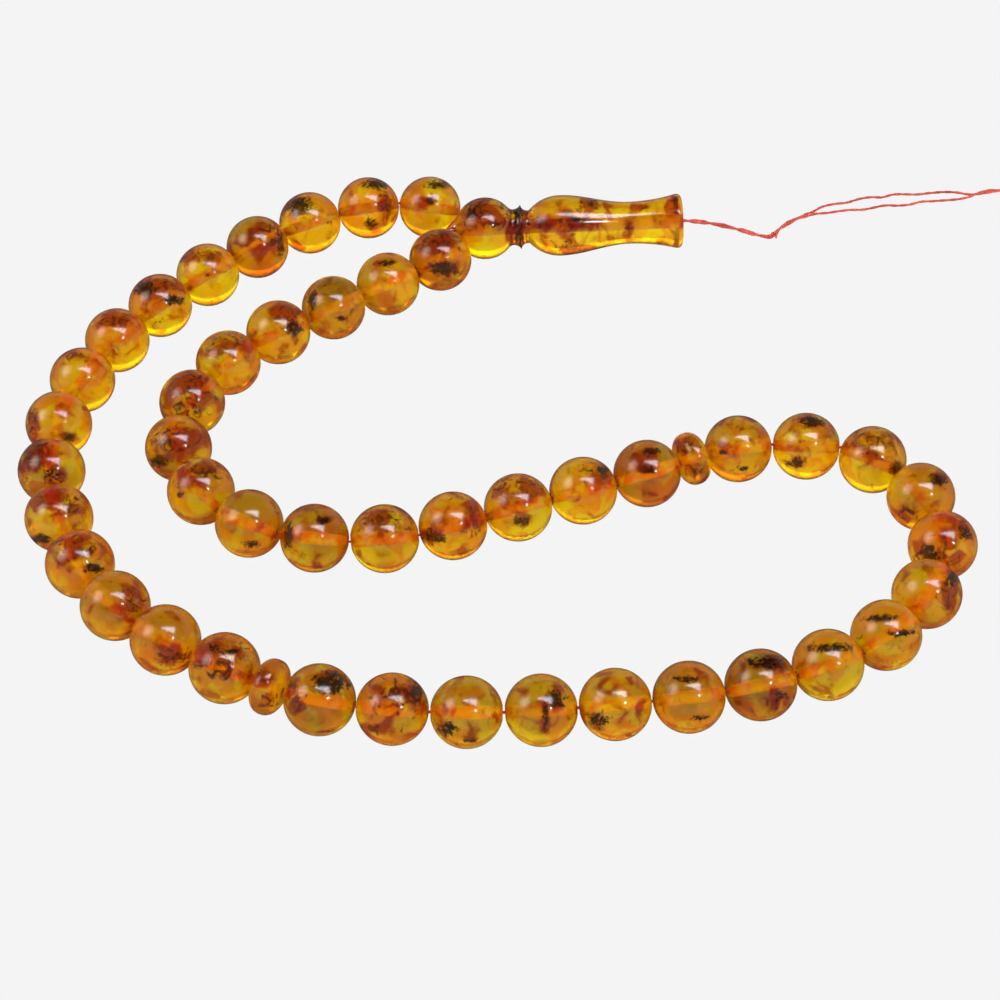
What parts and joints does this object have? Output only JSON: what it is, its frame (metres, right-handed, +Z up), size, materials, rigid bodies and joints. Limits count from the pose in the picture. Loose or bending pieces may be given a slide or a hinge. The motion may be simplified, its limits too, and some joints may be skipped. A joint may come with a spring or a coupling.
{
  "type": "prayer beads",
  "caption": "Open string of round amber beads in runs parted by flat separators, on one red thread whose two ends leave through a turned imam as a loose tail.",
  "frame": {"origin": "on the table, under the middle of the box round the bead loop and the imam", "axes": "+Z up from the table, +X the way the imam points and the longest side of the loop, +Y away from the nearest row of beads"},
  "size_m": [0.178, 0.1221, 0.0102],
  "materials": {
    "amber_bead": "polished translucent amber, yellow to red-brown, with dark inclusions",
    "amber_separator": "polished translucent amber, orange-brown",
    "amber_imam": "polished translucent amber, yellow with red-brown bands",
    "red_thread": "twisted coral-red thread"
  },
  "bodies": {
    "thread": {"thread_loop": "red_thread", "tail_strand_far": "red_thread", "tail_strand_near": "red_thread", "kink_knot": "red_thread", "end_knot": "red_thread"},
    "imam": {"imam": "amber_imam"},
    "bead_01": {"bead_01": "amber_bead"},
    "bead_02": {"bead_02": "amber_bead"},
    "bead_03": {"bead_03": "amber_bead"},
    "bead_04": {"bead_04": "amber_bead"},
    "bead_05": {"bead_05": "amber_bead"},
    "bead_06": {"bead_06": "amber_bead"},
    "bead_07": {"bead_07": "amber_bead"},
    "bead_08": {"bead_08": "amber_bead"},
    "bead_09": {"bead_09": "amber_bead"},
    "bead_10": {"bead_10": "amber_bead"},
    "bead_11": {"bead_11": "amber_bead"},
    "bead_12": {"bead_12": "amber_bead"},
    "bead_13": {"bead_13": "amber_bead"},
    "bead_14": {"bead_14": "amber_bead"},
    "bead_15": {"bead_15": "amber_bead"},
    "separator_1": {"separator_1": "amber_separator"},
    "bead_16": {"bead_16": "amber_bead"},
    "bead_17": {"bead_17": "amber_bead"},
    "bead_18": {"bead_18": "amber_bead"},
    "bead_19": {"bead_19": "amber_bead"},
    "bead_20": {"bead_20": "amber_bead"},
    "bead_21": {"bead_21": "amber_bead"},
    "bead_22": {"bead_22": "amber_bead"},
    "bead_23": {"bead_23": "amber_bead"},
    "bead_24": {"bead_24": "amber_bead"},
    "bead_25": {"bead_25": "amber_bead"},
    "bead_26": {"bead_26": "amber_bead"},
    "bead_27": {"bead_27": "amber_bead"},
    "bead_28": {"bead_28": "amber_bead"},
    "bead_29": {"bead_29": "amber_bead"},
    "bead_30": {"bead_30": "amber_bead"},
    "separator_2": {"separator_2": "amber_separator"},
    "bead_31": {"bead_31": "amber_bead"},
    "bead_32": {"bead_32": "amber_bead"},
    "bead_33": {"bead_33": "amber_bead"},
    "bead_34": {"bead_34": "amber_bead"},
    "bead_35": {"bead_35": "amber_bead"},
    "bead_36": {"bead_36": "amber_bead"},
    "bead_37": {"bead_37": "amber_bead"},
    "bead_38": {"bead_38": "amber_bead"},
    "bead_39": {"bead_39": "amber_bead"},
    "bead_40": {"bead_40": "amber_bead"},
    "bead_41": {"bead_41": "amber_bead"},
    "bead_42": {"bead_42": "amber_bead"},
    "bead_43": {"bead_43": "amber_bead"},
    "bead_44": {"bead_44": "amber_bead"},
    "bead_45": {"bead_45": "amber_bead"}
  },
  "joints": [
    {"name": "imam_slide", "type": "slide", "parent": "thread", "child": "imam", "axis": [0.9995, 0.0314, 0], "range_m": [0, 0.013], "deforming": ["tail_strand_far", "tail_strand_near"]},
    {"name": "bead_01_spin", "type": "hinge", "parent": "thread", "child": "bead_01", "pos_m": [-0.00891, 0.05453, 0.005], "axis": [-0.9653, 0.261, 0], "continuous": true},
    {"name": "bead_02_spin", "type": "hinge", "parent": "thread", "child": "bead_02", "pos_m": [-0.01899, 0.05467, 0.005], "axis": [-0.9777, -0.21, 0], "continuous": true},
    {"name": "bead_03_spin", "type": "hinge", "parent": "thread", "child": "bead_03", "pos_m": [-0.02849, 0.05106, 0.005], "axis": [-0.8642, -0.5031, 0], "continuous": true},
    {"name": "bead_04_spin", "type": "hinge", "parent": "thread", "child": "bead_04", "pos_m": [-0.03676, 0.04515, 0.005], "axis": [-0.7674, -0.6411, 0], "continuous": true},
    {"name": "bead_05_spin", "type": "hinge", "parent": "thread", "child": "bead_05", "pos_m": [-0.0444, 0.03844, 0.005], "axis": [-0.7296, -0.6839, 0], "continuous": true},
    {"name": "bead_06_spin", "type": "hinge", "parent": "thread", "child": "bead_06", "pos_m": [-0.05147, 0.03116, 0.005], "axis": [-0.6611, -0.7503, 0], "continuous": true},
    {"name": "bead_07_spin", "type": "hinge", "parent": "thread", "child": "bead_07", "pos_m": [-0.05758, 0.02306, 0.005], "axis": [-0.5365, -0.8439, 0], "continuous": true},
    {"name": "bead_08_spin", "type": "hinge", "parent": "thread", "child": "bead_08", "pos_m": [-0.06218, 0.01401, 0.005], "axis": [-0.3716, -0.9284, 0], "continuous": true},
    {"name": "bead_09_spin", "type": "hinge", "parent": "thread", "child": "bead_09", "pos_m": [-0.06486, 0.00423, 0.005], "axis": [-0.1396, -0.9902, 0], "continuous": true},
    {"name": "bead_10_spin", "type": "hinge", "parent": "thread", "child": "bead_10", "pos_m": [-0.06495, -0.00591, 0.005], "axis": [0.1098, -0.994, 0], "continuous": true},
    {"name": "bead_11_spin", "type": "hinge", "parent": "thread", "child": "bead_11", "pos_m": [-0.06288, -0.01585, 0.005], "axis": [0.2967, -0.955, 0], "continuous": true},
    {"name": "bead_12_spin", "type": "hinge", "parent": "thread", "child": "bead_12", "pos_m": [-0.05896, -0.02522, 0.005], "axis": [0.4713, -0.882, 0], "continuous": true},
    {"name": "bead_13_spin", "type": "hinge", "parent": "thread", "child": "bead_13", "pos_m": [-0.0532, -0.03356, 0.005], "axis": [0.6662, -0.7458, 0], "continuous": true},
    {"name": "bead_14_spin", "type": "hinge", "parent": "thread", "child": "bead_14", "pos_m": [-0.04563, -0.0403, 0.005], "axis": [0.8139, -0.581, 0], "continuous": true},
    {"name": "bead_15_spin", "type": "hinge", "parent": "thread", "child": "bead_15", "pos_m": [-0.03708, -0.04578, 0.005], "axis": [0.8628, -0.5056, 0], "continuous": true},
    {"name": "separator_1_spin", "type": "hinge", "parent": "thread", "child": "separator_1", "pos_m": [-0.03067, -0.0494, 0.005], "axis": [0.8912, -0.4536, 0], "continuous": true},
    {"name": "bead_16_spin", "type": "hinge", "parent": "thread", "child": "bead_16", "pos_m": [-0.02376, -0.0519, 0.005], "axis": [0.9621, -0.2727, 0], "continuous": true},
    {"name": "bead_17_spin", "type": "hinge", "parent": "thread", "child": "bead_17", "pos_m": [-0.01381, -0.05385, 0.005], "axis": [0.9923, -0.124, 0], "continuous": true},
    {"name": "bead_18_spin", "type": "hinge", "parent": "thread", "child": "bead_18", "pos_m": [-0.00369, -0.05467, 0.005], "axis": [0.9994, -0.0335, 0], "continuous": true},
    {"name": "bead_19_spin", "type": "hinge", "parent": "thread", "child": "bead_19", "pos_m": [0.00646, -0.05457, 0.005], "axis": [0.9985, 0.0547, 0], "continuous": true},
    {"name": "bead_20_spin", "type": "hinge", "parent": "thread", "child": "bead_20", "pos_m": [0.01658, -0.0538, 0.005], "axis": [0.9962, 0.087, 0], "continuous": true},
    {"name": "bead_21_spin", "type": "hinge", "parent": "thread", "child": "bead_21", "pos_m": [0.02668, -0.05275, 0.005], "axis": [0.9915, 0.1299, 0], "continuous": true},
    {"name": "bead_22_spin", "type": "hinge", "parent": "thread", "child": "bead_22", "pos_m": [0.03664, -0.05079, 0.005], "axis": [0.9671, 0.2545, 0], "continuous": true},
    {"name": "bead_23_spin", "type": "hinge", "parent": "thread", "child": "bead_23", "pos_m": [0.04621, -0.04737, 0.005], "axis": [0.9112, 0.4119, 0], "continuous": true},
    {"name": "bead_24_spin", "type": "hinge", "parent": "thread", "child": "bead_24", "pos_m": [0.05484, -0.04205, 0.005], "axis": [0.77, 0.6381, 0], "continuous": true},
    {"name": "bead_25_spin", "type": "hinge", "parent": "thread", "child": "bead_25", "pos_m": [0.06148, -0.03435, 0.005], "axis": [0.5357, 0.8444, 0], "continuous": true},
    {"name": "bead_26_spin", "type": "hinge", "parent": "thread", "child": "bead_26", "pos_m": [0.06495, -0.02486, 0.005], "axis": [0.0898, 0.996, 0], "continuous": true},
    {"name": "bead_27_spin", "type": "hinge", "parent": "thread", "child": "bead_27", "pos_m": [0.06306, -0.01491, 0.005], "axis": [-0.4015, 0.9159, 0], "continuous": true},
    {"name": "bead_28_spin", "type": "hinge", "parent": "thread", "child": "bead_28", "pos_m": [0.0569, -0.00694, 0.005], "axis": [-0.8238, 0.5669, 0], "continuous": true},
    {"name": "bead_29_spin", "type": "hinge", "parent": "thread", "child": "bead_29", "pos_m": [0.04733, -0.00379, 0.005], "axis": [-0.9956, 0.0932, 0], "continuous": true},
    {"name": "bead_30_spin", "type": "hinge", "parent": "thread", "child": "bead_30", "pos_m": [0.03715, -0.00406, 0.005], "axis": [-0.9854, -0.1704, 0], "continuous": true},
    {"name": "separator_2_spin", "type": "hinge", "parent": "thread", "child": "separator_2", "pos_m": [0.03005, -0.00597, 0.005], "axis": [-0.9026, -0.4305, 0], "continuous": true},
    {"name": "bead_31_spin", "type": "hinge", "parent": "thread", "child": "bead_31", "pos_m": [0.02332, -0.00895, 0.005], "axis": [-0.9261, -0.3772, 0], "continuous": true},
    {"name": "bead_32_spin", "type": "hinge", "parent": "thread", "child": "bead_32", "pos_m": [0.01374, -0.0123, 0.005], "axis": [-0.9541, -0.2994, 0], "continuous": true},
    {"name": "bead_33_spin", "type": "hinge", "parent": "thread", "child": "bead_33", "pos_m": [0.00412, -0.01551, 0.005], "axis": [-0.9387, -0.3448, 0], "continuous": true},
    {"name": "bead_34_spin", "type": "hinge", "parent": "thread", "child": "bead_34", "pos_m": [-0.00542, -0.01902, 0.005], "axis": [-0.9429, -0.333, 0], "continuous": true},
    {"name": "bead_35_spin", "type": "hinge", "parent": "thread", "child": "bead_35", "pos_m": [-0.01529, -0.02135, 0.005], "axis": [-0.9938, -0.1113, 0], "continuous": true},
    {"name": "bead_36_spin", "type": "hinge", "parent": "thread", "child": "bead_36", "pos_m": [-0.02543, -0.02098, 0.005], "axis": [-0.9871, 0.1602, 0], "continuous": true},
    {"name": "bead_37_spin", "type": "hinge", "parent": "thread", "child": "bead_37", "pos_m": [-0.03503, -0.01773, 0.005], "axis": [-0.8669, 0.4985, 0], "continuous": true},
    {"name": "bead_38_spin", "type": "hinge", "parent": "thread", "child": "bead_38", "pos_m": [-0.04247, -0.01083, 0.005], "axis": [-0.588, 0.8089, 0], "continuous": true},
    {"name": "bead_39_spin", "type": "hinge", "parent": "thread", "child": "bead_39", "pos_m": [-0.0464, -0.00153, 0.005], "axis": [-0.1241, 0.9923, 0], "continuous": true},
    {"name": "bead_40_spin", "type": "hinge", "parent": "thread", "child": "bead_40", "pos_m": [-0.04498, 0.00846, 0.005], "axis": [0.3534, 0.9355, 0], "continuous": true},
    {"name": "bead_41_spin", "type": "hinge", "parent": "thread", "child": "bead_41", "pos_m": [-0.03999, 0.01731, 0.005], "axis": [0.6346, 0.7728, 0], "continuous": true},
    {"name": "bead_42_spin", "type": "hinge", "parent": "thread", "child": "bead_42", "pos_m": [-0.03254, 0.0242, 0.005], "axis": [0.8154, 0.5788, 0], "continuous": true},
    {"name": "bead_43_spin", "type": "hinge", "parent": "thread", "child": "bead_43", "pos_m": [-0.02407, 0.0298, 0.005], "axis": [0.8432, 0.5376, 0], "continuous": true},
    {"name": "bead_44_spin", "type": "hinge", "parent": "thread", "child": "bead_44", "pos_m": [-0.01554, 0.03533, 0.005], "axis": [0.8563, 0.5165, 0], "continuous": true},
    {"name": "bead_45_spin", "type": "hinge", "parent": "thread", "child": "bead_45", "pos_m": [-0.00721, 0.04109, 0.005], "axis": [0.7516, 0.6596, 0], "continuous": true}
  ]
}
